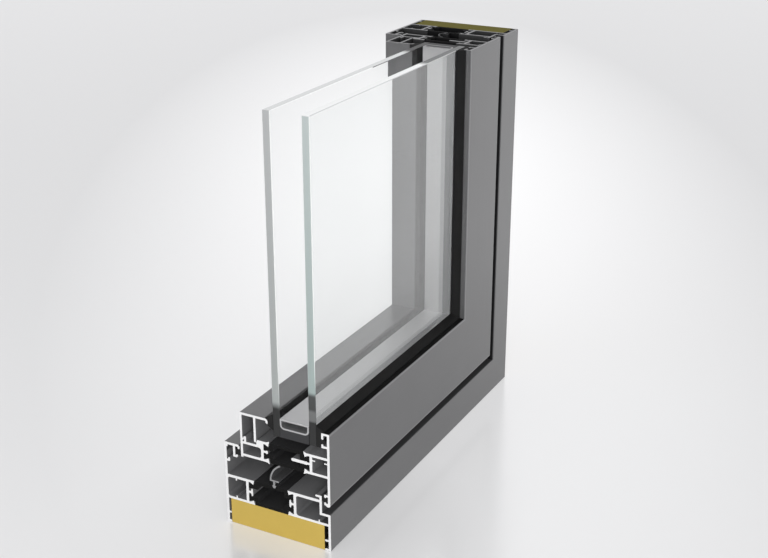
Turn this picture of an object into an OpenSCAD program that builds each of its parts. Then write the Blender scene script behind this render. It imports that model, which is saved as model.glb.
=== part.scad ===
// Corner sample of a thermally broken aluminium window: outer frame, sash and double glazing.
// Sections are drawn in [depth, height]: depth 0 is the exterior face, height 0 the underside.
// The sill lies along X and the jamb stands at its +X end. Both legs share one section.

/* [Sample] */
// Length of the sill, from its saw cut to the outer corner
sample_length = 270; // [200:5:600]
// Height of the jamb, from the outer corner to its saw cut
sample_height = 270; // [200:5:600]

/* [Aluminium walls] */
// Thickness of the outer walls of the profiles
wall = 1.6; // [1.4:0.1:1.8]
// Thickness of the walls that carry the strip grips
root_wall = 1.8; // [1.6:0.1:2.2]
// Thickness of the lips and hooks
hook_wall = 1.4; // [1.2:0.1:1.6]
// Thickness of the glazing bead
bead_wall = 1.5; // [1.3:0.1:1.7]
// Radius of the outer edges of the profiles
edge_radius = 0.5; // [0.3:0.1:0.7]
// Width of the small ribs inside the chambers
rib_width = 0.9; // [0.8:0.1:1.2]
// Height of the small ribs inside the chambers
rib_height = 1.4; // [1:0.1:2]
// Reach of the ribs on the side walls of the sash chamber
rib_reach = 2; // [1:0.1:3]

/* [Outer frame] */
// Depth of the exterior profile, from its face to the tips of its strip grips
frame_exterior_depth = 30; // [27:0.5:40]
// Depth of the interior profile, from its face to the tips of its strip grips
frame_interior_depth = 21; // [20:0.5:28]
// Height of the open channel below the frame body
channel_height = 17.2; // [14:0.2:30]
// Height of the hollow frame body
frame_body_height = 17; // [16:0.5:24]
// Height of the flange top above the underside of the frame body
flange_step = 8.3; // [7:0.1:10]
// Distance of the step wall behind the exterior face
step_setback = 5.9; // [5.6:0.1:7]
// Height of the step lip above the frame body
step_rise = 3.1; // [2.8:0.1:4]
// Reach of the step lip behind the step wall
step_lip_reach = 2.8; // [2:0.1:4]
// Height of the interior upstand above the underside of the sash body
interior_overlap = 6.6; // [5.8:0.1:8]
// Reach of the seal groove in front of the interior face
seal_reach = 11.3; // [10:0.1:13]
// Depth of the seal groove, from its tip to its back wall
seal_groove_depth = 3.3; // [3:0.1:4]
// Height of the seal groove over its two lips
seal_groove_height = 9.1; // [8.5:0.1:10]
// Height of the hook on the interior wall above the frame body
key_hook_rise = 9.4; // [8:0.1:10]
// Height of the upper clip hooks inside the channel flanges
clip_height = 6.3; // [5:0.1:10]
// Reach of the clip hooks on the exterior flange
exterior_clip_reach = 2.6; // [2:0.1:4]
// Reach of the clip hooks on the interior flange
interior_clip_reach = 1.6; // [1.4:0.1:3]

/* [Sash] */
// Depth of the exterior sash profile, from its face to the tips of its strip grips
sash_exterior_depth = 18; // [16:0.5:22]
// Clear height between the frame body and the sash body
hardware_gap = 16; // [14:0.5:20]
// Clear height between the frame flange and the rounded foot of the overlapping sash leg
shadow_gap = 5.1; // [4:0.1:7]
// Height of the sash body over its strip grips
sash_body_height = 13.6; // [13:0.2:18]
// Height of the glazing rebate above the sash body
glazing_rebate = 16.2; // [15:0.2:22]
// Drop of the bead seat below the top of the sash body
bead_seat_drop = 3.4; // [3:0.1:4]
// Reach of the fin between the strips, from the wall that carries it
fin_reach = 12.7; // [8:0.1:16]
// Thickness of that fin
fin_wall = 2; // [1.6:0.1:2.4]
// Clear height of the seal groove in the overlapping leg
leg_groove_height = 4.5; // [4:0.1:6]
// Reach of the two lips of that groove behind the exterior wall
leg_lip_reach = 2.6; // [2.2:0.1:2.8]
// Depth of the glazing lip behind the exterior face
glazing_lip_depth = 5.4; // [5:0.1:6]
// Height of the glazing groove over its two lips
glazing_groove_height = 9.8; // [9:0.1:11]
// Height of the turned edge of its upper lip
glazing_turn_down = 4.2; // [3.5:0.1:4.5]
// Height of the turned edge of its lower lip
glazing_turn_up = 2.6; // [2.2:0.1:3]

/* [Insulating strips] */
// Clear gap between the exterior and interior strip grips
break_gap = 24; // [20:0.5:34]
// Reach of the strip grips from the wall that carries them
nose_reach = 4.2; // [4:0.1:5]
// Depth of a grip nose below its outer surface
nose_depth = 2.8; // [2.6:0.1:3]
// Lean of the front of a grip nose
nose_lean = 0.8; // [0.4:0.1:1.2]
// Outward flare of the sash grip noses
nose_flare = 0.9; // [0.5:0.1:1.2]
// Clear mouth between a grip nose and the stub beside it
pocket_mouth = 2.8; // [2.6:0.1:2.9]
// Reach of the stub between the two strip pockets
stub_reach = 3; // [2.8:0.1:3.4]
// Thickness of that stub at its neck
stub_neck = 1.5; // [1.2:0.1:1.6]
// Thickness of the strip webs
strip_wall = 2; // [1.6:0.1:2.4]
// Spread of the strip feet on each side of their neck
foot_spread = 0.45; // [0.3:0.05:0.45]
// Gap between a grip nose and the leg of the strip
leg_gap = 0.5; // [0.3:0.1:1]

/* [Glazing bead] */
// Setback of the inner wall of the bead from the interior face of the sash
bead_web_setback = 9.9; // [8:0.1:11]
// Setback of the snap hook behind the outer wall of the bead
bead_hook_setback = 2.6; // [2.4:0.1:3]
// Height of the snap hook above the bead seat
bead_hook_height = 3.6; // [3.2:0.1:5]
// Radius of the rounded nose of the bead
bead_nose_radius = 2.2; // [2:0.1:2.6]

/* [Glass unit] */
// Distance of the glass behind the exterior face
glass_setback = 8.8; // [8:0.1:10]
// Thickness of each pane
pane = 5; // [4:1:6]
// Width of the cavity between the panes
cavity = 20; // [14:1:21]
// Width of the ground edges of the panes
pane_arris = 0.4; // [0.2:0.1:0.8]
// Clear height below the edge of the glass
glass_clearance = 6.2; // [5:0.2:8]
// Depth of the edge sealant below the spacer
sealant_depth = 5.6; // [4:0.2:7]
// Height of the spacer bar
spacer_height = 6.7; // [6:0.1:9]
// Wall thickness of the spacer bar
spacer_wall = 1; // [0.8:0.1:1.4]
// Radius of the lower corners of the spacer bar
spacer_radius = 3; // [2:0.1:3.5]

/* [Gaskets] */
// Clearance of strips and gaskets in their grooves
fit = 0.1; // [0.05:0.05:0.15]
// Space between the interior pane and the nose of the bead
bead_gasket_space = 3.7; // [3:0.1:5]
// Height of the glazing gaskets on the glass above the sash
gasket_rise = 4.2; // [3:0.1:6]
// Width of the barbs of the glazing gasket's foot behind the lips of its groove
foot_barb = 0.9; // [0.6:0.1:1]
// Gap between the tip of that foot and the back of its groove
foot_gap = 0.8; // [0.5:0.1:1.2]
// Cover of the glazing gaskets over the aluminium beside them
gasket_cover = 1.7; // [1:0.1:2]
// Space between the interior upstand of the frame and the sash
seal_gap = 1; // [0.8:0.1:1.6]
// Distance of the central gasket behind the exterior strip grips
center_seal_offset = 9.4; // [9:0.1:11]
// Width of the gasket boss on the upper frame strip
boss_width = 5.6; // [5:0.1:6]
// Height of that boss above the strip
boss_height = 2; // [1.8:0.1:3]
// Width of the slot in the boss
slot_width = 1.6; // [1.4:0.1:1.8]
// Height of the central gasket's base above the boss
center_base_rise = 1.6; // [0.5:0.1:2.5]
// Width of the base of the central gasket on the side away from its lip
center_base_reach = 3.4; // [2.5:0.1:4]
// Thickness of the central gasket's base and lip
center_lip_wall = 1; // [0.8:0.1:1.2]
// Offset of the lip's curve from the axis of the central gasket
center_lip_offset = 10.3; // [9.8:0.1:10.8]
// Angle that the lip curves through
center_lip_sweep = 63; // [58:1:68]

/* [Hidden] */
$fn = 64;

// Colours of the materials
aluminium = "#86878a";
bare_spacer = "#c4c5c7";
polyamide = "#222223";
rubber = "#1d1d1e";
seal_grey = "#8f9093";
gold = "#c8ac5c";
sealant = "#3a3b3d";
glass = "#cfe0dc";

// Levels of the outer frame
frame_floor = channel_height;
frame_top = frame_floor + frame_body_height;
flange_top = frame_floor + flange_step;
step_back = step_setback + wall;
step_top = frame_top + step_rise;
frame_depth = frame_exterior_depth + break_gap + frame_interior_depth;
frame_exterior_root = frame_exterior_depth - nose_reach;
frame_interior_root = frame_depth - frame_interior_depth + nose_reach;

// Levels of the sash
sash_floor = frame_top + hardware_gap;
sash_top = sash_floor + sash_body_height;
sash_head = sash_top + glazing_rebate;
sash_foot = flange_top + shadow_gap;
sash_back = frame_depth - seal_reach - seal_gap;
sash_exterior_root = sash_exterior_depth - nose_reach;
sash_interior_root = sash_exterior_depth + break_gap + nose_reach;
bead_seat = sash_top - bead_seat_drop;
upstand_top = sash_floor + interior_overlap;

// Levels of the glass unit
cavity_start = glass_setback + pane;
cavity_end = cavity_start + cavity;
glass_back = cavity_end + pane;
glass_foot = sash_top + glass_clearance;
spacer_foot = glass_foot + sealant_depth;
bead_nose = glass_back + bead_gasket_space;
gasket_top = sash_head + gasket_rise;

// Grooves, hooks and their turned tips
glazing_groove_floor = sash_head - glazing_groove_height;
glazing_groove_back = glazing_lip_depth - hook_wall;
leg_nose = sash_foot + wall;
leg_groove_floor = leg_nose + hook_wall / 2;
leg_groove_top = leg_groove_floor + leg_groove_height;
leg_lip_end = wall + leg_lip_reach;
seal_groove_tip = frame_depth - seal_reach;
seal_groove_back = seal_groove_tip + seal_groove_depth;
seal_groove_foot = upstand_top - seal_groove_height;
hook_curl = hook_wall / 2;
seal_groove_mouth = seal_groove_foot + hook_wall + hook_curl;

// Web of the bead, the hook on the sash that it snaps under, and that hook's barb
bead_web = sash_back - bead_web_setback - bead_wall;
hook_post = sash_back - bead_wall - bead_hook_setback;
hook_top = bead_seat + bead_hook_height;
hook_barb = hook_post + hook_wall + hook_curl;

// Strip pockets
strip_neck = pocket_mouth - 2 * fit;
throat = nose_reach / 2;

// Central gasket and its slot
seal_axis = frame_exterior_depth + center_seal_offset;
slot_floor = frame_top - strip_wall / 2;
slot_ceiling = frame_top + boss_height / 2;
bulb_half = boss_width / 4;
center_base = frame_top + boss_height + center_base_rise;
center_lip_level = center_base + center_lip_wall / 2;
center_lip_radius = (sash_floor - fit - center_lip_level) / sin(center_lip_sweep);

// Reach of the mitre past every section
mitre_reach = gasket_top + wall;

// Filled rectangle between two depths and two heights
module rect(d0, d1, h0, h1) {
    translate([d0, h0]) square([d1 - d0, h1 - h0]);
}

// Lip along the depth with a round free end at d1. H is its underside.
module lip(d0, d1, h, t) {
    end = d1 - sign(d1 - d0) * t / 2;
    rect(min(d0, end), max(d0, end), h, h + t);
    translate([end, h + t / 2]) circle(d = t);
}

// Turned edge along the height with a round free end at h1. D is its exterior side.
module turn(d, h0, h1, t) {
    end = h1 - sign(h1 - h0) * t / 2;
    rect(d, d + t, min(h0, end), max(h0, end));
    translate([d + t / 2, end]) circle(d = t);
}

// Sliver between a square corner and its round. Toward points from the corner to the centre of the round.
// Added, it fills an inside corner. Taken away, it rounds an outer edge.
module fillet(d, h, toward, radius) {
    difference() {
        translate([d, h] + (toward - [1, 1]) * radius / 2) square(radius);
        translate([d, h] + toward * radius) circle(radius);
    }
}

// Curved band between two angles around a centre
module arc_band(center, outer, thickness, from, to) {
    steps = 4;
    reach = 2 * outer;
    fan = [for (i = [0 : steps]) let (a = from + (to - from) * i / steps) reach * [cos(a), sin(a)]];
    translate(center) intersection() {
        difference() {
            circle(outer);
            circle(outer - thickness);
        }
        polygon(concat([[0, 0]], fan));
    }
}

// Outline drawn from a wall face, counter-clockwise in [reach, rise]. Side and up turn it over.
module from_face(root, level, side, up, outline) {
    points = [for (p = outline) [root + side * p[0], level + up * p[1]]];
    last = len(points) - 1;
    polygon(side * up > 0 ? points : [for (i = [last : -1 : 0]) points[i]]);
}

// Nose of a strip grip. Level is its outer surface and inward points to the strip foot.
module grip_nose(root, level, side, inward, flare) {
    from_face(root, level, side, inward, [
        [-root_wall / 2, 0], [throat, 0], [nose_reach, -flare], [nose_reach - nose_lean, nose_depth],
        [throat / 2, wall], [-root_wall / 2, wall]
    ]);
}

// Stub between the two strip pockets of one profile. Its tail lists points past the prongs.
module grip_stub(root, level, side, half, tail) {
    neck = stub_neck / 2;
    upper = concat([[-root_wall / 2, neck], [stub_reach / 2, neck], [0.75 * stub_reach, half]], tail);
    lower = [for (p = upper) [p[0], -p[1]]];
    last = len(upper) - 1;
    from_face(root, level, side, 1, concat(lower, [for (i = [last : -1 : 0]) upper[i]]));
}

// Both noses and the stub that hold a pair of strips on one profile
module grips(root, side, low, high, flare, fin = 0) {
    half = (high - low) / 2 - nose_depth - pocket_mouth;
    blunt = [[stub_reach, 0.7 * half]];
    finned = [[stub_reach, fin_wall / 2], [fin, fin_wall / 2]];
    grip_nose(root, low, side, 1, flare);
    grip_nose(root, high, side, -1, flare);
    grip_stub(root, (low + high) / 2, side, half, fin > 0 ? finned : blunt);
}

// Insulating strip between two walls. Outer is its flush surface and inward points to its feet.
module strip_section(root_a, root_b, outer, inward) {
    foot_level = nose_depth + pocket_mouth / 2;
    half = strip_neck / 2;
    leg = nose_reach + leg_gap;
    near_end = [
        [leg, 0], [leg, foot_level - half], [throat, foot_level - half],
        [throat / 2, foot_level - half - foot_spread], [fit, foot_level - half - foot_spread],
        [fit, foot_level + half + foot_spread], [throat / 2, foot_level + half + foot_spread],
        [throat, foot_level + half], [leg + strip_wall, foot_level + half], [leg + strip_wall, strip_wall]
    ];
    last = len(near_end) - 1;
    far_end = [for (i = [last : -1 : 0]) [root_b - root_a - near_end[i][0], near_end[i][1]]];
    from_face(root_a, outer, -1, inward, [for (p = concat(near_end, far_end)) [-p[0], p[1]]]);
}

// Exterior profile of the outer frame
module frame_exterior_section() {
    body_back = frame_exterior_root - root_wall;
    difference() {
        union() {
            rect(0, wall, 0, flange_top);
            rect(0, step_back, flange_top - wall, flange_top);
        }
        fillet(0, 0, [1, 1], edge_radius);
        fillet(0, flange_top, [1, -1], edge_radius);
    }
    rect(step_setback, step_back, flange_top - wall, step_top);
    lip(step_setback, step_back + step_lip_reach, step_top - hook_wall, hook_wall);
    rect(0, frame_exterior_root, frame_floor, frame_floor + wall);
    rect(step_setback, frame_exterior_root, frame_top - root_wall, frame_top);
    rect(body_back, frame_exterior_root, frame_floor, frame_top);
    rect(step_back, step_back + rib_width, frame_floor + wall, frame_floor + wall + rib_height);
    fillet(body_back, frame_floor + wall, [-1, 1], wall);
    fillet(body_back, frame_top - root_wall, [-1, -1], wall);
    for (h = [0, clip_height])
        lip(wall / 2, wall + exterior_clip_reach, h, hook_wall);
    grips(frame_exterior_root, 1, frame_floor, frame_top, 0);
}

// Interior profile of the outer frame
module frame_interior_section() {
    inner_face = frame_depth - wall;
    body_front = frame_interior_root + root_wall;
    rib = (body_front + inner_face) / 2;
    tip = seal_groove_tip;
    key_hook = frame_top + key_hook_rise;
    key_tip = inner_face - interior_clip_reach - hook_wall / 2;
    difference() {
        union() {
            rect(inner_face, frame_depth, 0, upstand_top);
            rect(tip + hook_wall / 2, frame_depth, upstand_top - wall, upstand_top);
        }
        fillet(frame_depth, 0, [-1, 1], edge_radius);
        fillet(frame_depth, upstand_top, [-1, -1], edge_radius);
    }
    rect(frame_interior_root, frame_depth, frame_floor, frame_floor + wall);
    rect(frame_interior_root, frame_depth, frame_top - root_wall, frame_top);
    rect(frame_interior_root, body_front, frame_floor, frame_top);
    rect(rib, rib + rib_width, frame_floor + wall, frame_floor + wall + rib_height);
    rect(rib, rib + rib_width, frame_top - root_wall - rib_height, frame_top - root_wall);
    fillet(inner_face, frame_floor + wall, [-1, 1], wall);
    fillet(inner_face, frame_top - root_wall, [-1, -1], wall);
    for (h = [0, clip_height])
        lip(frame_depth - wall / 2, inner_face - interior_clip_reach, h, hook_wall);
    turn(tip, upstand_top - wall / 2, upstand_top - wall - hook_wall, hook_wall);
    rect(seal_groove_back, seal_groove_back + wall, seal_groove_foot, upstand_top);
    rect(tip + 1.5 * hook_wall, seal_groove_back + wall, seal_groove_foot, seal_groove_foot + hook_wall);
    turn(tip + hook_wall, seal_groove_foot + hook_wall / 2, seal_groove_mouth, hook_wall);
    rect(inner_face - rib_width, inner_face, upstand_top - wall - rib_height, upstand_top - wall);
    lip(frame_depth - wall / 2, key_tip, key_hook, hook_wall);
    turn(key_tip, key_hook + hook_wall / 2, key_hook + 2 * hook_wall, hook_wall);
    grips(frame_interior_root, -1, frame_floor, frame_top, 0);
}

// Exterior profile of the sash
module sash_exterior_section() {
    body_back = sash_exterior_root - root_wall;
    mid = (sash_floor + sash_top) / 2;
    rib_level = sash_top - wall - 2 * rib_height;
    leg_tip = leg_lip_end - hook_wall;
    difference() {
        union() {
            rect(0, wall, leg_nose, sash_head);
            rect(0, glazing_lip_depth, sash_head - hook_wall, sash_head);
        }
        fillet(0, sash_head, [1, -1], edge_radius);
    }
    intersection() {
        translate([wall, leg_nose]) circle(wall);
        rect(0, leg_lip_end, sash_foot, leg_nose);
    }
    turn(glazing_groove_back, sash_head - hook_wall / 2, sash_head - glazing_turn_down, hook_wall);
    rect(wall / 2, glazing_lip_depth - hook_wall / 2, glazing_groove_floor, glazing_groove_floor + hook_wall);
    turn(glazing_groove_back, glazing_groove_floor, glazing_groove_floor + glazing_turn_up, hook_wall);
    rect(wall / 2, sash_exterior_root, sash_floor, sash_floor + wall);
    rect(wall / 2, sash_exterior_root, sash_top - wall, sash_top);
    rect(body_back, sash_exterior_root, sash_floor, sash_top);
    rect(wall / 2, wall + rib_reach, rib_level, rib_level + rib_width);
    rect(body_back - rib_reach, body_back, rib_level, rib_level + rib_width);
    lip(wall / 2, leg_lip_end, leg_nose - hook_wall / 2, hook_wall);
    lip(wall / 2, leg_lip_end, leg_groove_top, hook_wall);
    turn(leg_tip, leg_nose, leg_groove_floor + hook_curl, hook_wall);
    turn(leg_tip, leg_groove_top + hook_wall / 2, leg_groove_top - hook_curl, hook_wall);
    grips(sash_exterior_root, 1, sash_floor, sash_top, nose_flare, fin_reach - fin_wall / 2);
    translate([sash_exterior_root + fin_reach - fin_wall / 2, mid]) circle(d = fin_wall);
}

// Interior profile of the sash, with the seat of the glazing bead
module sash_interior_section() {
    inner_face = sash_back - wall;
    body_front = sash_interior_root + root_wall;
    brace = bead_web - fit;
    difference() {
        union() {
            rect(inner_face, sash_back, sash_floor - rib_width, bead_seat);
            rect(sash_interior_root, sash_back, bead_seat - wall, bead_seat);
        }
        fillet(sash_back, bead_seat, [-1, -1], edge_radius);
    }
    rect(sash_interior_root, sash_back, sash_floor, sash_floor + wall);
    rect(sash_interior_root, body_front, sash_floor, sash_top);
    fillet(body_front, sash_floor + wall, [1, 1], wall);
    fillet(body_front, bead_seat - wall, [1, -1], wall);
    polygon([
        [sash_interior_root, sash_top], [sash_interior_root, bead_seat - wall / 2],
        [brace + fit, bead_seat - wall / 2], [brace, bead_seat + wall],
        [brace - wall / 2, sash_top]
    ]);
    rect(hook_post, hook_post + hook_wall, bead_seat - wall / 2, hook_top);
    polygon([
        [hook_post, hook_top - hook_wall], [hook_barb, hook_top - hook_wall],
        [hook_post + hook_wall, hook_top], [hook_post, hook_top]
    ]);
    grips(sash_interior_root, -1, sash_floor, sash_top, nose_flare);
}

// Glazing bead that clips on the sash
module glazing_bead_section() {
    nose_center = [bead_nose + bead_nose_radius, sash_head - bead_nose_radius];
    lug_top = hook_top - hook_wall - fit;
    outer = sash_back - bead_wall;
    lug = hook_post + hook_wall + 2 * fit;
    difference() {
        union() {
            rect(outer, sash_back, bead_seat, sash_head);
            rect(nose_center[0], sash_back, sash_head - bead_wall, sash_head);
        }
        fillet(sash_back, bead_seat, [-1, 1], edge_radius);
        fillet(sash_back, sash_head, [-1, -1], edge_radius);
    }
    rect(bead_web, bead_web + bead_wall, bead_seat + wall, sash_head - bead_wall / 2);
    arc_band(nose_center, bead_nose_radius, bead_wall, 90, 215);
    polygon([
        [outer + bead_wall / 2, lug_top + hook_wall], [hook_barb + 2 * fit, lug_top],
        [lug, lug_top], [lug, lug_top - hook_wall / 2],
        [outer + bead_wall / 2, bead_seat + fit]
    ]);
}

// Seal strip of the outer frame, between its interior upstand and the sash
module rebate_gasket_interior_section() {
    mouth_low = seal_groove_mouth + fit;
    mouth_high = upstand_top - wall - hook_wall - fit;
    foot_front = seal_groove_tip + 2 * hook_wall + fit;
    foot_back = seal_groove_back - fit;
    rect(sash_back + fit, foot_back, mouth_low, mouth_high);
    rect(foot_front, foot_back, seal_groove_foot + hook_wall + fit, upstand_top - wall - fit);
}

// Seal strip of the overlapping sash leg, against the step of the outer frame
module rebate_gasket_exterior_section() {
    mouth_low = leg_groove_floor + hook_curl + fit;
    mouth_high = leg_groove_top - hook_curl - fit;
    foot_back = leg_lip_end - hook_wall - fit;
    rect(wall + fit, step_setback - fit, mouth_low, mouth_high);
    rect(wall + fit, foot_back, leg_groove_floor + fit, leg_groove_top - fit);
}

// Centre seal of the outer frame: arrow foot, stem, base and curved lip
module central_gasket_section() {
    stem = slot_width / 2 - fit;
    lip_center = [seal_axis - center_lip_offset, center_lip_level];
    lip_root = lip_center[0] + center_lip_radius;
    polygon([
        [seal_axis - stem, slot_floor + fit], [seal_axis + stem, slot_floor + fit],
        [seal_axis + bulb_half, slot_ceiling - fit], [seal_axis - bulb_half, slot_ceiling - fit]
    ]);
    rect(seal_axis - stem, seal_axis + stem, frame_top, center_lip_level);
    rect(seal_axis - center_base_reach, lip_root, center_base, center_base + center_lip_wall);
    arc_band(lip_center, center_lip_radius, center_lip_wall, 0, center_lip_sweep);
}

// Upper strip of the outer frame, with the slotted boss of the centre seal
module frame_strip_upper_section() {
    boss_half = boss_width / 2;
    slot_half = slot_width / 2;
    boss_top = frame_top + boss_height;
    pocket_half = bulb_half + fit;
    difference() {
        union() {
            strip_section(frame_exterior_root, frame_interior_root, frame_top, -1);
            rect(seal_axis - boss_half, seal_axis + boss_half, frame_top - strip_wall / 2, boss_top);
        }
        rect(seal_axis - pocket_half, seal_axis + pocket_half, slot_floor, slot_ceiling);
        rect(seal_axis - slot_half, seal_axis + slot_half, slot_floor, boss_top + boss_height);
    }
}

// Glazing gasket on the exterior: foot in the groove, body against the glass, cover over the lip
module glazing_gasket_exterior_section() {
    neck_low = glazing_groove_floor + glazing_turn_up + fit;
    neck = sash_head - glazing_turn_down - fit - neck_low;
    reach = glazing_groove_back - wall - foot_gap;
    body = glazing_lip_depth + fit;
    cover = glazing_lip_depth - gasket_cover;
    from_face(glazing_groove_back, neck_low, -1, 1, [
        [-hook_wall - 2 * fit, 0], [fit, 0], [fit, -foot_barb], [reach, foot_barb],
        [reach, neck - foot_barb], [fit, neck + foot_barb], [fit, neck], [-hook_wall - 2 * fit, neck]
    ]);
    rect(body, glass_setback, glass_foot + fit, sash_head + 2 * fit);
    polygon([
        [cover, sash_head + fit], [glass_setback, sash_head + fit],
        [glass_setback, gasket_top], [cover, sash_head + wall / 2]
    ]);
}

// Glazing gasket on the interior: wedge between the glass and the bead, cover over its nose
module glazing_gasket_interior_section() {
    wedge_foot = sash_head - 3 * bead_nose_radius;
    side = bead_nose - fit;
    cover = bead_nose + gasket_cover;
    polygon([
        [glass_back, wedge_foot], [side, wedge_foot + bead_nose_radius],
        [side, sash_head + fit], [cover, sash_head + fit],
        [cover, sash_head + wall / 2], [glass_back, gasket_top]
    ]);
}

// Rounded box of the spacer bar, drawn in by a wall thickness
module spacer_outline(inset) {
    d0 = cavity_start + inset;
    d1 = cavity_end - inset;
    h0 = spacer_foot + inset;
    h1 = spacer_foot + spacer_height - inset;
    radius = spacer_radius - inset;
    rect(d0, d1, h0 + radius, h1);
    rect(d0 + radius, d1 - radius, h0, h1);
    for (d = [d0 + radius, d1 - radius])
        translate([d, h0 + radius]) circle(radius);
}

// Hollow spacer bar between the panes
module spacer_bar_section() {
    difference() {
        spacer_outline(0);
        spacer_outline(spacer_wall);
    }
}

// Sealant that fills the edge of the glass unit up to the spacer bar
module edge_sealant_section() {
    difference() {
        rect(cavity_start, cavity_end, glass_foot, spacer_foot + spacer_radius / 2);
        spacer_outline(0);
    }
}

// Block that fills the open channel of the outer frame
module infill_block_section() {
    rect(wall + exterior_clip_reach + fit, frame_depth - wall - interior_clip_reach - fit, 0, channel_height);
}

// Prism across the whole depth that is cut away along the mitre. Side is 1 above it and -1 below.
module mitre_cut(side) {
    corner = [sample_length + wall, -wall];
    end = [sample_length - mitre_reach, mitre_reach];
    translate([0, frame_depth + wall, 0]) rotate([90, 0, 0])
        linear_extrude(frame_depth + 2 * wall)
            polygon(side > 0 ? [corner, [corner[0], end[1]], end] : [corner, end, [end[0], corner[1]]]);
}

// Section run along the sill or up the jamb and mitred at the corner
module leg(name) {
    translate([-sample_length / 2, -frame_depth / 2, 0]) difference() {
        if (name == "sill")
            rotate([90, 0, 90]) linear_extrude(sample_length) children();
        else
            translate([sample_length, 0, 0]) rotate([0, 0, 90]) linear_extrude(sample_height) children();
        mitre_cut(name == "sill" ? 1 : -1);
    }
}

// Section of a pane with ground edges, from its inner end to its cut end
module pane_section(width) {
    polygon([
        [0, pane_arris], [pane_arris, 0], [pane - pane_arris, 0], [pane, pane_arris],
        [pane, width - pane_arris], [pane - pane_arris, width], [pane_arris, width], [0, width - pane_arris]
    ]);
}

// Pane whose exterior surface lies at depth d
module glass_pane(d) {
    width = sample_length - glass_foot;
    height = sample_height - glass_foot;
    color(glass) translate([-sample_length / 2, d - frame_depth / 2, glass_foot]) intersection() {
        rotate([90, 0, 90]) linear_extrude(width) pane_section(height);
        translate([width, 0, 0]) rotate([0, 0, 90]) linear_extrude(height) pane_section(width);
    }
}

module frame_exterior(name) { color(aluminium) leg(name) frame_exterior_section(); }
module frame_interior(name) { color(aluminium) leg(name) frame_interior_section(); }
module frame_strip_upper(name) { color(polyamide) leg(name) frame_strip_upper_section(); }
module frame_strip_lower(name) {
    color(polyamide) leg(name) strip_section(frame_exterior_root, frame_interior_root, frame_floor, 1);
}
module infill_block(name) { color(gold) leg(name) infill_block_section(); }
module central_gasket(name) { color(seal_grey) leg(name) central_gasket_section(); }
module rebate_gasket_interior(name) { color(rubber) leg(name) rebate_gasket_interior_section(); }
module sash_exterior(name) { color(aluminium) leg(name) sash_exterior_section(); }
module sash_interior(name) { color(aluminium) leg(name) sash_interior_section(); }
module sash_strip_upper(name) {
    color(polyamide) leg(name) strip_section(sash_exterior_root, sash_interior_root, sash_top, -1);
}
module sash_strip_lower(name) {
    color(polyamide) leg(name) strip_section(sash_exterior_root, sash_interior_root, sash_floor, 1);
}
module rebate_gasket_exterior(name) { color(rubber) leg(name) rebate_gasket_exterior_section(); }
module glazing_gasket_exterior(name) { color(rubber) leg(name) glazing_gasket_exterior_section(); }
module glazing_gasket_interior(name) { color(rubber) leg(name) glazing_gasket_interior_section(); }
module glazing_bead(name) { color(aluminium) leg(name) glazing_bead_section(); }
module spacer_bar(name) { color(bare_spacer) leg(name) spacer_bar_section(); }
module edge_sealant(name) { color(sealant) leg(name) edge_sealant_section(); }
module glass_pane_exterior() { glass_pane(glass_setback); }
module glass_pane_interior() { glass_pane(cavity_end); }

for (name = ["sill", "jamb"]) {
    frame_exterior(name);
    frame_interior(name);
    frame_strip_upper(name);
    frame_strip_lower(name);
    infill_block(name);
    central_gasket(name);
    rebate_gasket_interior(name);
    sash_exterior(name);
    sash_interior(name);
    sash_strip_upper(name);
    sash_strip_lower(name);
    rebate_gasket_exterior(name);
    glazing_gasket_exterior(name);
    glazing_gasket_interior(name);
    glazing_bead(name);
    spacer_bar(name);
    edge_sealant(name);
}
glass_pane_exterior();
glass_pane_interior();
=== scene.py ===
import math

import bmesh
import bpy
from mathutils import Matrix, Vector


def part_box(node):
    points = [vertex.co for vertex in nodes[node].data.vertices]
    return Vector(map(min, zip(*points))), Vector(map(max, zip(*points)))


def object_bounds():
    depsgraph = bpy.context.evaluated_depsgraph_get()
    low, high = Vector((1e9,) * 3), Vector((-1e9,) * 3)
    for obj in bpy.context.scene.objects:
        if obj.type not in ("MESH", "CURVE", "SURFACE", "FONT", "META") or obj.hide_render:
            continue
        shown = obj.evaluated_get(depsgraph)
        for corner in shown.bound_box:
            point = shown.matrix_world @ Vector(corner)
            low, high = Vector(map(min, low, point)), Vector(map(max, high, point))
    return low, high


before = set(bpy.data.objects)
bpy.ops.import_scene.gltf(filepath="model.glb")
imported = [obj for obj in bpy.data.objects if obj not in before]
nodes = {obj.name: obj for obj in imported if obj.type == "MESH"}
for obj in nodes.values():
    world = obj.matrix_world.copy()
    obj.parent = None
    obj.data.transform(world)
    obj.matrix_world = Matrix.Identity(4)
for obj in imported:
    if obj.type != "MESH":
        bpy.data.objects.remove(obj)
cad_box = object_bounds()


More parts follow.
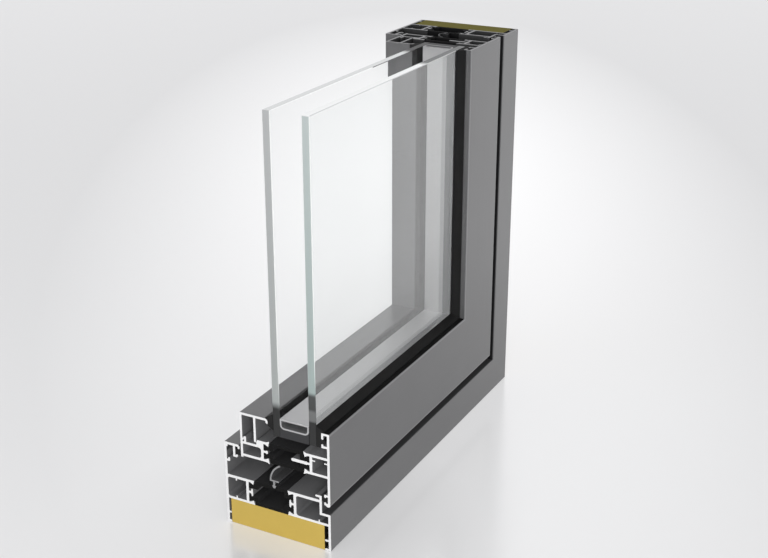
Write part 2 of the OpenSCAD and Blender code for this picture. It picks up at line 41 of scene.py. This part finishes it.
# Outer frame profiles: extruded aluminium, coated satin grey and sawn square at the free end
# of each leg, where the bare metal shows. No coat reaches the chambers and the closed rebates,
# which keep the mill finish of the extrusion, pale in the sill and painted dark in the jamb as shade.
class Wire:
    """One socket in a finish. Arithmetic on wires adds Math nodes."""

    def __init__(self, tree, socket=None):
        self.tree = tree
        self.socket = socket

    def node(self, kind, settings, sockets, output=0):
        made = self.tree.nodes.new(kind)
        for name, value in settings.items():
            if name == "stops":
                ramp = made.color_ramp.elements
                while len(ramp) < len(value):
                    ramp.new(1.0)
                for stop, (place, colour) in zip(ramp, value):
                    stop.position = place
                    stop.color = colour
            else:
                setattr(made, name, value)
        plug(made, sockets)
        return Wire(self.tree, made.outputs[output])

    def math(self, operation, first, second):
        return self.node("ShaderNodeMath", {"operation": operation}, {0: first, 1: second})

    def __add__(self, other):
        return self.math("ADD", self, other)

    def __radd__(self, other):
        return self.math("ADD", other, self)

    def __sub__(self, other):
        return self.math("SUBTRACT", self, other)

    def __rsub__(self, other):
        return self.math("SUBTRACT", other, self)

    def __mul__(self, other):
        return self.math("MULTIPLY", self, other)

    def __rmul__(self, other):
        return self.math("MULTIPLY", other, self)

    def __lt__(self, other):
        return self.math("LESS_THAN", self, other)

    def __gt__(self, other):
        return self.math("GREATER_THAN", self, other)

    def either(self, other):
        return self.math("MAXIMUM", self, other)

    def over(self, other, share):
        """This wire in the given share, and the other one for the rest."""
        return self * share + other * (1 - share)

    def mix(self, first, second):
        """Colour first where this wire is 0, second where it is 1."""
        factor, colour_a, colour_b, colour_out = 0, 6, 7, 2
        sockets = {factor: self, colour_a: first, colour_b: second}
        return self.node("ShaderNodeMix", {"data_type": "RGBA"}, sockets, colour_out)

    def rise(self, low, high):
        """0 up to low, 1 from high on, and even in between."""
        return self.node("ShaderNodeMapRange", {}, {"Value": self, "From Min": low, "From Max": high})

    def grain(self, stretch, detail=2.0):
        """Noise between 0 and 1, with its stretch in cycles a metre along each axis."""
        moved = self.node("ShaderNodeMapping", {}, {"Vector": self, "Scale": stretch})
        return self.node("ShaderNodeTexNoise", {}, {"Vector": moved, "Scale": 1.0, "Detail": detail})

    def bump(self, distance, strength):
        sockets = {"Height": self, "Distance": distance, "Strength": strength}
        return self.node("ShaderNodeBump", {}, sockets)


def plug(node, sockets):
    """Links wires to a node's sockets, and sets plain values on the sockets themselves."""
    for name, value in sockets.items():
        if isinstance(value, Wire):
            value.tree.links.new(value.socket, node.inputs[name])
        else:
            node.inputs[name].default_value = value


def finish(name):
    """A new material with its Principled node and the wire of its Object coordinates."""
    material = bpy.data.materials.new(name)
    material.use_nodes = True
    tree = material.node_tree
    shader = tree.nodes["Principled BSDF"]
    place = Wire(tree).node("ShaderNodeTexCoord", {}, {}, "Object")
    return material, shader, place


def axis(place, name):
    """Position along one axis, in metres."""
    return place.node("ShaderNodeSeparateXYZ", {}, {"Vector": place}, name)


CUT_SLACK = 0.00005
SILL_END = cad_box[0].x + CUT_SLACK
JAMB_TOP = cad_box[1].z - CUT_SLACK


def at_jamb_top(place):
    """1 on the saw cut at the top of the jamb."""
    return axis(place, "Z") > JAMB_TOP


def sawn(place):
    """1 on the square cuts at the free ends of the two legs."""
    return (axis(place, "X") < SILL_END).either(at_jamb_top(place))


def across_section(leg, place):
    """Depth behind the exterior face and height above the outer edge of one leg."""
    depth = axis(place, "Y") - cad_box[0].y
    if leg == "sill":
        return depth, axis(place, "Z")
    return depth, cad_box[1].x - axis(place, "X")


def between(wire, limits):
    """1 where a wire lies between two limits."""
    low, high = limits
    return (wire > low) * (wire < high)


# Places in the section, as depths and heights in metres
SECTION_DEPTH = (0.0012, 0.0739)
SECTION_HEIGHT = (0.001, 0.0782)
OUTER_STEP_DEPTH, OUTER_STEP_HEIGHT = 0.007, 0.0378
INNER_FACE_DEPTH, INNER_FACE_HEIGHT = 0.0615, 0.0505


def out_of_sight(depth, height):
    """1 inside the chambers and rebates of a leg, which no coat reaches."""
    section = between(depth, SECTION_DEPTH) * between(height, SECTION_HEIGHT)
    outer_step = (depth < OUTER_STEP_DEPTH) * (height < OUTER_STEP_HEIGHT)
    inner_face = (depth > INNER_FACE_DEPTH) * (height > INNER_FACE_HEIGHT)
    return section * (1 - outer_step) * (1 - inner_face)


GAP_DEPTH = (0.0007, 0.0059)
GAP_HEIGHT = (0.0253, 0.0316)


def in_shadow_gap(depth, height):
    """1 in the gap between the frame flange and the sash, where shade is painted."""
    return between(depth, GAP_DEPTH) * between(height, GAP_HEIGHT)


LIP_DEPTH = (0.0003, 0.0086)
LIP_HEIGHT = 0.0796


def on_glazing_lip(depth, height):
    """1 on the lip of the sash that holds the exterior gasket, where shade is painted."""
    return between(depth, LIP_DEPTH) * (height > LIP_HEIGHT)


FACE_DEPTH = 0.0003
LOWER_EDGE = (0.0310, 0.0326)
UPPER_EDGE = (0.0785, 0.0800)


def on_highlit_edge(depth, height):
    """1 along the two edges of the sash face, where a highlight is painted."""
    return (depth < FACE_DEPTH) * between(height, LOWER_EDGE).either(between(height, UPPER_EDGE))


def even(cycles):
    """Noise stretch that is the same all ways."""
    return [cycles] * 3


def along(leg, lengthwise, crosswise):
    """Noise stretch that draws a pattern out along one leg's extrusion."""
    stretch = even(crosswise)
    stretch[0 if leg == "sill" else 2] = lengthwise
    return stretch


COAT_TONES = ((0.076, 0.076, 0.079, 1), (0.090, 0.090, 0.093, 1))
# Painted highlight along the two edges of the sash face
EDGE_HIGHLIGHT_TONE = (0.17, 0.17, 0.175, 1)
SILL_CUT_TONES = ((0.84, 0.84, 0.85, 1), (0.98, 0.98, 0.98, 1))
# The saw cut at the top of the jamb is painted darker than the sill's, as shade
JAMB_CUT_SHADE_TONES = ((0.31, 0.31, 0.315, 1), (0.41, 0.41, 0.415, 1))
# Mill finish in the hollows, painted dark in the jamb as shade
MILL_AND_SHADE_TONES = {
    "sill": ((0.17, 0.17, 0.175, 1), (0.235, 0.235, 0.24, 1)),
    "jamb": ((0.035, 0.035, 0.036, 1), (0.055, 0.055, 0.056, 1)),
}
# Painted shade in the gap between flange and sash, darker in the jamb
GAP_SHADE_TONES = {"sill": (0.06, 0.06, 0.062, 1), "jamb": (0.010, 0.010, 0.011, 1)}
# Painted shade on the glazing lip, near black in the sill
LIP_SHADE_TONES = {"sill": (0.017, 0.017, 0.017, 1), "jamb": (0.085, 0.085, 0.087, 1)}
LIP_DULLNESS = {"sill": 0.45, "jamb": 0.0}
LIP_METAL = {"sill": 0.9, "jamb": 0.0}
JAMB_CUT_METAL = 0.6
COAT_WEIGHT, COAT_ROUGHNESS = 0.7, 0.22
MILL_ROUGHNESS, COAT_SMOOTHING, LINE_ROUGHNESS = 0.48, 0.2, 0.07
# Patterns in cycles a metre, and for drawn lines lengthwise and crosswise
CLOUD_CYCLES, PEEL_CYCLES = 35, 2200
LINE_CYCLES = (12, 1500)
SAW_CYCLES = (900, 5200, 900)
PEEL_SHARE = 0.6


def coated_aluminium(leg):
    material, shader, place = finish(leg + "_coated_aluminium")
    cut = sawn(place)
    jamb_cut = at_jamb_top(place)
    depth, height = across_section(leg, place)
    hidden = out_of_sight(depth, height)
    gap = in_shadow_gap(depth, height)
    lip = on_glazing_lip(depth, height)
    edge_highlight = on_highlit_edge(depth, height)
    cloud = place.grain(even(CLOUD_CYCLES))
    peel = place.grain(even(PEEL_CYCLES))
    drawn = place.grain(along(leg, *LINE_CYCLES))
    saw = place.grain(SAW_CYCLES)
    # Coat, with a painted highlight along the edges of the sash face
    coat = edge_highlight.mix(cloud.mix(*COAT_TONES), EDGE_HIGHLIGHT_TONE)
    # Painted shade in the gap and on the glazing lip, in place of the coat
    coat = lip.mix(gap.mix(coat, GAP_SHADE_TONES[leg]), LIP_SHADE_TONES[leg])
    # Mill finish in the hollows, with painted shade in the jamb
    mill_and_shade = drawn.mix(*MILL_AND_SHADE_TONES[leg])
    # Sawn metal, with painted shade on the cut at the top of the jamb
    sawn_metal_and_shade = jamb_cut.mix(saw.mix(*SILL_CUT_TONES), saw.mix(*JAMB_CUT_SHADE_TONES))
    coated = (1 - cut) * (1 - hidden) * (1 - gap) * (1 - lip)
    roughness = MILL_ROUGHNESS - COAT_SMOOTHING * coated + LINE_ROUGHNESS * drawn
    relief = peel.over(drawn, PEEL_SHARE) * (1 - cut) + saw * cut
    plug(shader, {
        "Base Color": cut.mix(hidden.mix(coat, mill_and_shade), sawn_metal_and_shade),
        "Metallic": JAMB_CUT_METAL * jamb_cut + LIP_METAL[leg] * lip * (1 - cut),
        "Coat Weight": COAT_WEIGHT * coated,
        "Coat Roughness": COAT_ROUGHNESS,
        "Roughness": roughness + LIP_DULLNESS[leg] * lip,
        "Normal": relief.bump(distance=0.00001, strength=0.25),
    })
    return material


def dress(material, *names):
    """Gives a finish to the named pieces, in place of the one they came with."""
    for name in names:
        nodes[name].data.materials.clear()
        nodes[name].data.materials.append(material)


legs = ("sill", "jamb")
coats = {leg: coated_aluminium(leg) for leg in legs}
for leg in legs:
    dress(coats[leg], leg + "_frame_exterior", leg + "_frame_interior")


# Insulating strips: glass-filled black polyamide, extruded as open channels
# whose feet are rolled into the grips of the two aluminium profiles,
# both in the outer frame and in the sash.
# Skin and cut tones, painted darker in the jamb than in the sill, as shade
STRIP_SKIN_AND_SHADE_TONES = {
    "sill": ((0.030, 0.030, 0.031, 1), (0.046, 0.046, 0.047, 1)),
    "jamb": ((0.008, 0.008, 0.008, 1), (0.013, 0.013, 0.014, 1)),
}
STRIP_CORE_AND_SHADE_TONES = {
    "sill": ((0.006, 0.006, 0.006, 1), (0.012, 0.012, 0.012, 1)),
    "jamb": ((0.002, 0.002, 0.002, 1), (0.004, 0.004, 0.004, 1)),
}
FIBRE_CYCLES = (150, 2600)
DIE_CYCLES = (8, 700)
FIBRE_SHARE = 0.6
STRIP_ROUGHNESS, DIE_ROUGHNESS, STRIP_CUT_ROUGHNESS = 0.38, 0.12, 0.5


def black_polyamide(leg):
    material, shader, place = finish(leg + "_black_polyamide")
    cut = sawn(place)
    fibre = place.grain(along(leg, *FIBRE_CYCLES))
    drawn = place.grain(along(leg, *DIE_CYCLES))
    skin = fibre.mix(*STRIP_SKIN_AND_SHADE_TONES[leg])
    core = fibre.mix(*STRIP_CORE_AND_SHADE_TONES[leg])
    plug(shader, {
        "Base Color": cut.mix(skin, core),
        "Roughness": STRIP_ROUGHNESS + DIE_ROUGHNESS * drawn + STRIP_CUT_ROUGHNESS * cut,
        "Specular IOR Level": 0.2,
        "Normal": fibre.over(drawn, FIBRE_SHARE).bump(distance=0.00002, strength=0.4),
    })
    return material


strips = ("_frame_strip_upper", "_frame_strip_lower", "_sash_strip_upper", "_sash_strip_lower")
for leg in legs:
    dress(black_polyamide(leg), *[leg + strip for strip in strips])


# Infill blocks: strips of rigid gold board pressed into the open channel under the outer frame,
# between its clip hooks. Painted shade: the side behind the exterior flange is painted dark, and the
# end at the top of the jamb is rougher and painted darker than the one at the sill.
BOARD_TONES = ((0.555, 0.391, 0.078, 1), (0.675, 0.488, 0.112, 1))
# Painted shade on the board's end at the top of the jamb
BOARD_TOP_SHADE_TONES = ((0.225, 0.197, 0.028, 1), (0.295, 0.258, 0.046, 1))
# Painted shade on the board's side behind the exterior flange
BOARD_SIDE_SHADE_TONE = (0.012, 0.011, 0.008, 1)
BOARD_SKIN = 0.0001
BOARD_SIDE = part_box("sill_infill_block")[0].y + BOARD_SKIN
CELL_CYCLES, BLOTCH_CYCLES = 1900, 90
CELL_DETAIL = 4.0
CELL_SHARE = 0.6
BOARD_ROUGHNESS, CELL_ROUGHNESS = 0.46, 0.14
BOARD_CUT_ROUGHNESS, BOARD_TOP_ROUGHNESS = 0.08, 0.25


def gold_board():
    material, shader, place = finish("gold_board")
    jamb_cut = at_jamb_top(place)
    cells = place.grain(even(CELL_CYCLES), CELL_DETAIL)
    tone = cells.over(place.grain(even(BLOTCH_CYCLES)), CELL_SHARE)
    colour = jamb_cut.mix(tone.mix(*BOARD_TONES), tone.mix(*BOARD_TOP_SHADE_TONES))
    side = axis(place, "Y") < BOARD_SIDE
    ends = BOARD_CUT_ROUGHNESS * sawn(place) + BOARD_TOP_ROUGHNESS * jamb_cut
    plug(shader, {
        "Base Color": side.mix(colour, BOARD_SIDE_SHADE_TONE),
        "Roughness": BOARD_ROUGHNESS + CELL_ROUGHNESS * cells + ends,
        "Normal": cells.bump(distance=0.00005, strength=0.35),
    })
    return material


dress(gold_board(), "sill_infill_block", "jamb_infill_block")


# Central gaskets: soft rubber with an arrow foot in the upper strip and a long lip that closes
# on the sash. The skin is dark grey, painted near black in the jamb as shade,
# and the fresh cut is paler, also painted darker in the jamb.
# Skin and cut tones, painted darker in the jamb than in the sill, as shade
SEAL_SKIN_AND_SHADE_TONES = {
    "sill": ((0.080, 0.080, 0.082, 1), (0.110, 0.110, 0.112, 1)),
    "jamb": ((0.020, 0.020, 0.021, 1), (0.028, 0.028, 0.029, 1)),
}
SEAL_CORE_AND_SHADE_TONES = {
    "sill": ((0.27, 0.27, 0.275, 1), (0.34, 0.34, 0.345, 1)),
    "jamb": ((0.09, 0.09, 0.092, 1), (0.12, 0.12, 0.122, 1)),
}
PORE_CYCLES = 3000
SEAL_CYCLES = (10, 1200)
PORE_SHARE = 0.5
SEAL_ROUGHNESS, SEAL_LINE_ROUGHNESS, SEAL_CUT_ROUGHNESS = 0.52, 0.1, 0.2


def grey_rubber(leg):
    material, shader, place = finish(leg + "_grey_rubber")
    cut = sawn(place)
    pores = place.grain(even(PORE_CYCLES))
    drawn = place.grain(along(leg, *SEAL_CYCLES))
    skin = drawn.mix(*SEAL_SKIN_AND_SHADE_TONES[leg])
    core = pores.mix(*SEAL_CORE_AND_SHADE_TONES[leg])
    plug(shader, {
        "Base Color": cut.mix(skin, core),
        "Roughness": SEAL_ROUGHNESS + SEAL_LINE_ROUGHNESS * drawn + SEAL_CUT_ROUGHNESS * cut,
        "Normal": pores.over(drawn, PORE_SHARE).bump(distance=0.00002, strength=0.4),
    })
    return material


for leg in legs:
    dress(grey_rubber(leg), leg + "_central_gasket")


# Sash profiles: the same coated extrusions as the outer frame.
# The bead of the same metal snaps over the sash's interior upstand.
for leg in legs:
    dress(coats[leg], leg + "_sash_exterior", leg + "_sash_interior", leg + "_glazing_bead")


# Rebate and glazing gaskets: black rubber drawn in lengths, pushed into the grooves
# of the profiles. The extrusion leaves fine lines along each length, and the gasket
# on the interior pane is a little greyer with dust.
CLEAN_SKIN = ((0.011, 0.011, 0.011, 1), (0.018, 0.018, 0.018, 1))
DUSTED_SKIN = ((0.022, 0.022, 0.022, 1), (0.032, 0.032, 0.032, 1))
RUBBER_CORE = ((0.019, 0.019, 0.019, 1), (0.028, 0.028, 0.028, 1))
GASKET_CYCLES = (6, 1600)
BLOOM_CYCLES = 140
BLOOM_DETAIL = 3.0
RUBBER_ROUGHNESS, RUBBER_LINE_ROUGHNESS, RUBBER_CUT_ROUGHNESS = 0.5, 0.1, 0.15


def black_rubber(name, leg, skin_tones):
    material, shader, place = finish(name)
    cut = sawn(place)
    drawn = place.grain(along(leg, *GASKET_CYCLES))
    bloom = place.grain(even(BLOOM_CYCLES), BLOOM_DETAIL)
    plug(shader, {
        "Base Color": cut.mix(bloom.mix(*skin_tones), bloom.mix(*RUBBER_CORE)),
        "Roughness": RUBBER_ROUGHNESS + RUBBER_LINE_ROUGHNESS * drawn + RUBBER_CUT_ROUGHNESS * cut,
        "Specular IOR Level": 0.06,
        "Normal": drawn.bump(distance=0.00002, strength=0.5),
    })
    return material


seals = ("_rebate_gasket_interior", "_rebate_gasket_exterior", "_glazing_gasket_exterior")
for leg in legs:
    clean_rubber = black_rubber(leg + "_black_rubber", leg, CLEAN_SKIN)
    dress(clean_rubber, *[leg + seal for seal in seals])
    dusted_rubber = black_rubber(leg + "_dusted_rubber", leg, DUSTED_SKIN)
    dress(dusted_rubber, leg + "_glazing_gasket_interior")


# Spacer bars: bare aluminium tube rolled from strip, light grey and satin,
# holding the two panes apart all round the unit.
# Spacer tones, painted darker in the jamb than in the sill, as shade
SPACER_AND_SHADE_TONES = {
    "sill": ((0.60, 0.60, 0.605, 1), (0.63, 0.63, 0.635, 1)),
    "jamb": ((0.41, 0.41, 0.415, 1), (0.44, 0.44, 0.445, 1)),
}
ROLL_CYCLES = (15, 1300)
SPACER_ROUGHNESS, ROLL_ROUGHNESS = 0.5, 0.04


def bare_aluminium(leg):
    material, shader, place = finish(leg + "_bare_aluminium")
    rolled = place.grain(along(leg, *ROLL_CYCLES))
    plug(shader, {
        "Base Color": rolled.mix(*SPACER_AND_SHADE_TONES[leg]),
        "Metallic": 0.9,
        "Roughness": SPACER_ROUGHNESS + ROLL_ROUGHNESS * rolled,
        "Normal": rolled.bump(distance=0.000004, strength=0.1),
    })
    return material


for leg in legs:
    dress(bare_aluminium(leg), leg + "_spacer_bar")


# Edge sealant: dark grey two-part sealant, trowelled flush with the edges of the panes
# behind the spacer bar.
SEALANT_TONES = ((0.022, 0.022, 0.024, 1), (0.034, 0.034, 0.036, 1))
TROWEL_CYCLES = (260, 420, 260)
TROWEL_DETAIL = 3.0
SEALANT_ROUGHNESS, TROWEL_ROUGHNESS = 0.5, 0.15


def dark_sealant():
    material, shader, place = finish("dark_sealant")
    trowel = place.grain(TROWEL_CYCLES, TROWEL_DETAIL)
    plug(shader, {
        "Base Color": trowel.mix(*SEALANT_TONES),
        "Roughness": SEALANT_ROUGHNESS + TROWEL_ROUGHNESS * trowel,
        "Normal": trowel.bump(distance=0.00006, strength=0.5),
    })
    return material


dress(dark_sealant(), "sill_edge_sealant", "jamb_edge_sealant")


# Glass panes: clear float glass with ground edges and arrises that carry painted highlights, held
# between the gaskets.
# The cut ends are green-grey, with painted shade in bands where the gaskets and the sealant shut them
# in.
# The upper edges mirror the room, and turn rougher towards the jamb, where they are painted darker as
# shade.
EDGE_LOW, EDGE_HIGH = 0.08, 0.27
# Painted shade where the gaskets and the sealant shut a pane's end in
SHUT_IN_SHADE = (0.014, 0.0145, 0.0145, 1)
ARRIS_WIDTH = 0.0004
# Painted highlights on the end and upper arrises
END_ARRIS_HIGHLIGHT = (0.86, 0.88, 0.87, 1)
END_ARRIS_RISE = 0.025
UPPER_ARRIS_HIGHLIGHT = (0.74, 0.75, 0.75, 1)
DULL_BLEND = 0.004
GRIT_CYCLES = 1500
EDGE_ROUGHNESS, TOP_POLISH, DULL_ROUGHNESS = 0.3, 0.15, 0.75


def cut_end(across, up, end_colour_and_shade):
    """Colour of a pane's cut end by height, with painted shade bands, and a painted highlight on its
    arris from where the end comes free.
    """
    stops = [((level - EDGE_LOW) / (EDGE_HIGH - EDGE_LOW), colour) for level, colour in end_colour_and_shade]
    end = up.node("ShaderNodeValToRGB", {"stops": stops}, {"Fac": up.rise(EDGE_LOW, EDGE_HIGH)})
    free_from = end_colour_and_shade[-2][0]
    arris = (across > SILL_END) * up.rise(free_from, free_from + END_ARRIS_RISE)
    return arris.mix(end, END_ARRIS_HIGHLIGHT)


def float_glass(side, bend, clearness, end_colour_and_shade, upper_tints_and_shade, dull_from, upper_arris):
    material, shader, place = finish(side + "_float_glass")
    plug(shader, {"Transmission Weight": 1.0, "IOR": bend, "Roughness": 0.0, "Base Color": clearness})
    across = axis(place, "X")
    up = axis(place, "Z")
    top = up > JAMB_TOP - upper_arris
    ground = (across < SILL_END + ARRIS_WIDTH).either(top)
    # Rougher and painted darker towards the jamb, as shade
    dull_and_shaded = across.rise(dull_from - DULL_BLEND, dull_from + DULL_BLEND) * top
    upper_end = (up > JAMB_TOP).mix(UPPER_ARRIS_HIGHLIGHT, dull_and_shaded.mix(*upper_tints_and_shade))
    edge = place.node("ShaderNodeBsdfPrincipled", {}, {
        "Base Color": top.mix(cut_end(across, up, end_colour_and_shade), upper_end),
        "Metallic": top,
        "Roughness": EDGE_ROUGHNESS - TOP_POLISH * top + DULL_ROUGHNESS * dull_and_shaded,
        "Normal": place.grain(even(GRIT_CYCLES)).bump(distance=0.00001, strength=0.2),
    })
    face = Wire(place.tree, shader.outputs["BSDF"])
    pane = place.node("ShaderNodeMixShader", {}, {0: ground, 1: face, 2: edge})
    plug(place.tree.nodes["Material Output"], {"Surface": pane})
    return material


exterior_glass = float_glass(
    "exterior",
    bend=1.65,
    clearness=(0.925, 0.935, 0.932, 1),
    # Green-grey end, with painted shade in bands by height
    end_colour_and_shade=(
        (0.0855, SHUT_IN_SHADE),
        (0.0862, (0.145, 0.150, 0.150, 1)),
        (0.0920, (0.155, 0.160, 0.160, 1)),
        (0.0940, (0.050, 0.052, 0.052, 1)),
        (0.1025, (0.060, 0.063, 0.063, 1)),
        (0.1050, (0.352, 0.424, 0.412, 1)),
        (EDGE_HIGH, (0.455, 0.505, 0.500, 1)),
    ),
    upper_tints_and_shade=((0.98, 0.99, 0.985, 1), (0.33, 0.335, 0.335, 1)),
    dull_from=0.006,
    upper_arris=ARRIS_WIDTH,
)
interior_glass = float_glass(
    "interior",
    bend=1.12,
    clearness=(0.965, 0.970, 0.968, 1),
    end_colour_and_shade=(
        (0.0885, SHUT_IN_SHADE),
        (0.0930, (0.372, 0.396, 0.391, 1)),
        (EDGE_HIGH, (0.415, 0.425, 0.430, 1)),
    ),
    upper_tints_and_shade=((0.72, 0.735, 0.73, 1), (0.20, 0.20, 0.20, 1)),
    dull_from=0.033,
    upper_arris=0.0,
)
dress(exterior_glass, "glass_pane_exterior")
dress(interior_glass, "glass_pane_interior")
for pane in ("glass_pane_exterior", "glass_pane_interior"):
    nodes[pane].visible_shadow = False


# Studio floor: a wide pale board with a faint gloss, with a painted pool of light behind the sample
# and a painted shadow at the sawn sill. It glows a little to the camera so that it stays pale, and
# still takes the shadow.
# What the sample mirrors of it is tinted apart, with painted shade round the sample's base and beside
# the sill's end.
FLOOR_HALF = 6.0
FLOOR_GAP = 0.0002
floor_shape = bmesh.new()
floor_place = Matrix.Translation((0, 0, cad_box[0].z - FLOOR_GAP))
bmesh.ops.create_grid(floor_shape, x_segments=1, y_segments=1, size=FLOOR_HALF, matrix=floor_place)
floor_mesh = bpy.data.meshes.new("studio_floor")
floor_shape.to_mesh(floor_mesh)
floor_shape.free()
floor = bpy.data.objects.new("studio_floor", floor_mesh)
bpy.context.scene.collection.objects.link(floor)


def ray(wire, fact):
    """One fact about the ray that meets a surface."""
    return wire.node("ShaderNodeLightPath", {}, {}, fact)


def seen_ray(wire):
    """1 for what the camera, metal and glass see, 0 for light that falls on the sample."""
    mirrored_or_bent = ray(wire, "Is Glossy Ray").either(ray(wire, "Is Transmission Ray"))
    return ray(wire, "Is Camera Ray").either(mirrored_or_bent)


def pool(place, centre, turn, reach):
    """1 at the centre of an ellipse on the floor, falling evenly to 0 at its rim."""
    turned = (0, 0, math.radians(turn))
    sockets = {"Vector": place, "Location": (*centre, 0), "Rotation": turned, "Scale": (*reach, 1)}
    moved = place.node("ShaderNodeMapping", {"vector_type": "TEXTURE"}, sockets)
    return place.node("ShaderNodeTexGradient", {"gradient_type": "SPHERICAL"}, {"Vector": moved})


# Floor tints: a painted glow behind the sample, a painted shadow at the sill's end, and painted shade
# in reflections
FLOOR_GLOW_TONES = ((0.34, 0.34, 0.345, 1), (0.71, 0.71, 0.715, 1))
FOOT_SHADOW_TONE = (0.30, 0.30, 0.302, 1)
MIRRORED_SHADE_TONES = ((0.60, 0.60, 0.605, 1), (0.28, 0.28, 0.282, 1))
BLACK = (0, 0, 0, 1)


def pale_board():
    material, shader, place = finish("pale_board")
    # Painted light and shade: a glow behind the sample, a shadow at the sill's end, and darker
    # reflections near the sample
    painted_glow = pool(place, centre=(0.60, 0.26), turn=28, reach=(1.0, 0.385))
    foot_shadow = pool(place, centre=(-0.155, 0.0), turn=0, reach=(0.16, 0.13))
    shade = pool(place, centre=(0.05, -0.05), turn=0, reach=(0.44, 0.26))
    mirrored_dark_patch = pool(place, centre=(-0.42, 0.24), turn=-28, reach=(0.55, 0.32))
    open_tint = foot_shadow.mix(painted_glow.mix(*FLOOR_GLOW_TONES), FOOT_SHADOW_TONE)
    mirrored_tint = mirrored_dark_patch.mix(shade.mix(*MIRRORED_SHADE_TONES), BLACK)
    mirrored = ray(place, "Glossy Depth") > 0
    tint = mirrored.mix(open_tint, mirrored_tint)
    plug(shader, {
        "Base Color": (0.55, 0.55, 0.55, 1),
        "Roughness": 0.2,
        "IOR": 2.6,
        "Emission Color": seen_ray(place).mix(BLACK, tint),
        "Emission Strength": 1.0,
    })
    return material


floor_mesh.materials.append(pale_board())


# Studio light: a large soft lamp on the side of the sawn sill end, a second one near the camera
# that reaches into the hollows, a weak one in front, and a pale room all round.
LAMP_AIM = Vector((0, 0, 0.1))


def soft_lamp(name, place, width, height, power):
    data = bpy.data.lights.new(name, "AREA")
    data.shape = "RECTANGLE"
    data.size = width
    data.size_y = height
    data.energy = power
    lamp = bpy.data.objects.new(name, data)
    turn = (LAMP_AIM - Vector(place)).to_track_quat("-Z", "Y").to_matrix().to_4x4()
    lamp.matrix_world = Matrix.Translation(place) @ turn
    lamp.visible_glossy = False
    bpy.context.scene.collection.objects.link(lamp)


soft_lamp("side_lamp", place=(-1.05, 0.5, 0.52), width=1.3, height=0.55, power=3.75)
soft_lamp("near_lamp", place=(-0.98, -0.53, 0.40), width=0.6, height=0.30, power=6.7)
soft_lamp("front_lamp", place=(-0.3, -1.9, 0.8), width=1.4, height=0.7, power=4.0)

ROOM_LIGHT = (0.20, 0.20, 0.205, 1)
ROOM_SEEN = (0.90, 0.90, 0.91, 1)
world = bpy.data.worlds.new("pale_room")
world.use_nodes = True
bpy.context.scene.world = world
room_tint = seen_ray(Wire(world.node_tree)).mix(ROOM_LIGHT, ROOM_SEEN)
plug(world.node_tree.nodes["Background"], {"Color": room_tint, "Strength": 1.0})


# Camera: at the photograph's height and side, level from left to right,
# with the slightly long lens that its perspective shows.
SENSOR_WIDTH = 36.0
LENS = 61.16
CAMERA_PLACE = (-0.71405, -0.37886, 0.44936)
LOOKING = Vector((0.8203, 0.4323, -0.3744))
camera_data = bpy.data.cameras.new("camera")
camera_data.sensor_width = SENSOR_WIDTH
camera_data.lens = LENS
camera = bpy.data.objects.new("camera", camera_data)
camera_turn = LOOKING.to_track_quat("-Z", "Y").to_matrix().to_4x4()
camera.matrix_world = Matrix.Translation(CAMERA_PLACE) @ camera_turn
bpy.context.scene.collection.objects.link(camera)
bpy.context.scene.camera = camera
bpy.context.scene.view_settings.view_transform = "Standard"
